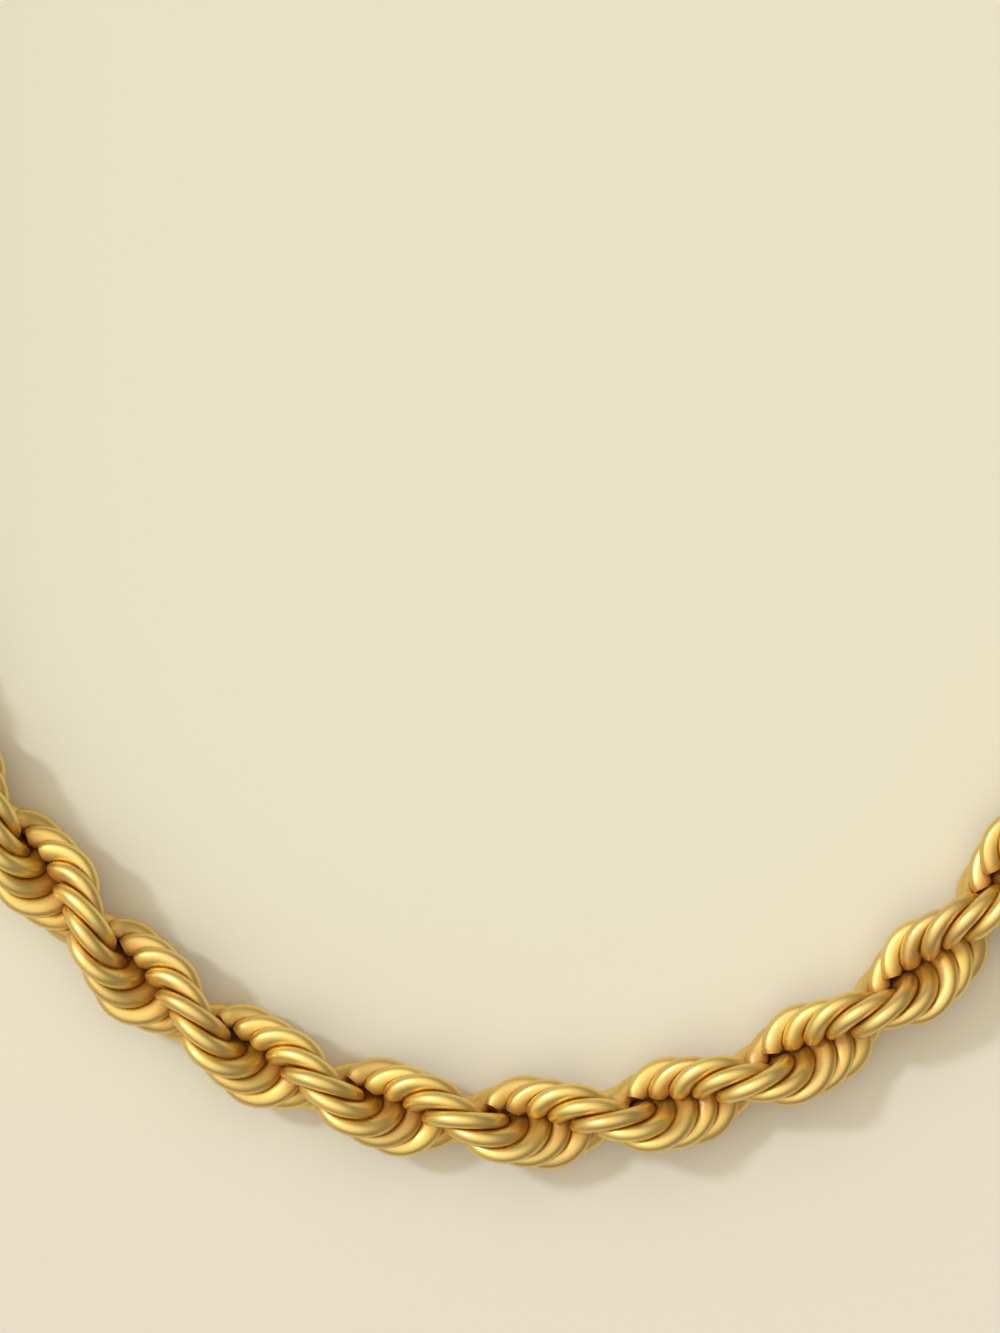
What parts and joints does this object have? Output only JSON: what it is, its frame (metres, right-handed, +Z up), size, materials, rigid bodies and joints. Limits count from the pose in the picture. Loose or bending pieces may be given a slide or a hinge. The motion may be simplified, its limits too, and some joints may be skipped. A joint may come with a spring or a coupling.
{
  "type": "rope chain necklace",
  "caption": "Closed necklace of interlocking round wire links that wind as a thick two-strand rope, laid flat, with its ends in a plain barrel clasp.",
  "frame": {"origin": "middle of the necklace's box, on the surface that it lies on", "axes": "+Y from the middle of the lower curve, which is the picture's arc, to the clasp; +X to the right as the picture shows it; +Z up, away from the surface"},
  "size_m": [0.1287, 0.1657, 0.0116],
  "materials": {
    "chain_gold": "polished, gold plated round wire",
    "clasp_gold": "polished, gold plated, turned barrel"
  },
  "bodies": {
    "root": {"chain_left": "chain_gold", "chain_right": "chain_gold", "barrel_clasp": "clasp_gold"}
  },
  "joints": []
}
